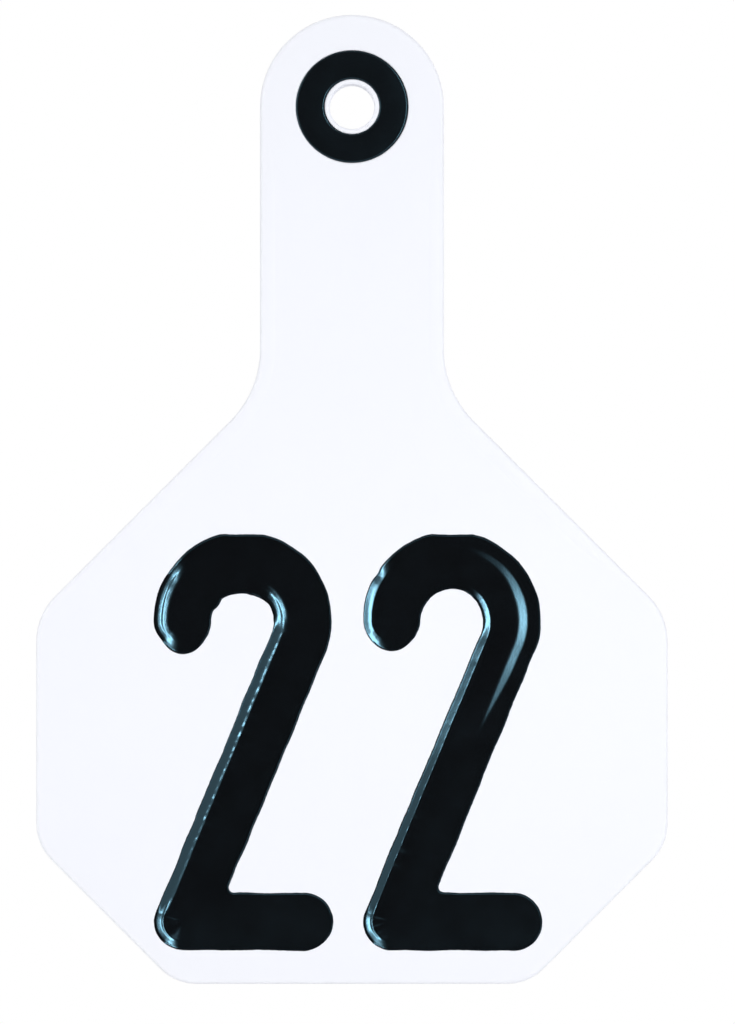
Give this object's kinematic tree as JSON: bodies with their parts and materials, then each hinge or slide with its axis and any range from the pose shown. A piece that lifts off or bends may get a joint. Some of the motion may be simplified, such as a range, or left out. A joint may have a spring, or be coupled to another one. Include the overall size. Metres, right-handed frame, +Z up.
{
  "type": "livestock ear tag",
  "caption": "Flat panel half of a two-piece livestock ear tag: necked panel with a hub bore for the stud, a hard ring in the hub and stamped plain numerals.",
  "frame": {"origin": "on the axis of the stud bore, in the plane of the panel's flat back face", "axes": "+Z up the neck away from the panel, +Y out of the back towards the ear and the side the stud comes from, -Y out of the face with the numerals, +X to the right of someone reading the face"},
  "size_m": [0.0762, 0.0037, 0.1169],
  "materials": {
    "white_moulding": "slightly bluish white thermoplastic polyurethane, satin, faintly uneven",
    "black_insert": "black hard nylon, smooth, faint gloss",
    "black_ink": "black hot-stamped ink, glossy, rounded lips"
  },
  "bodies": {
    "root": {"tag_panel": "white_moulding", "hub_ring": "black_insert", "numeral_left": "black_ink", "numeral_right": "black_ink"}
  },
  "joints": []
}
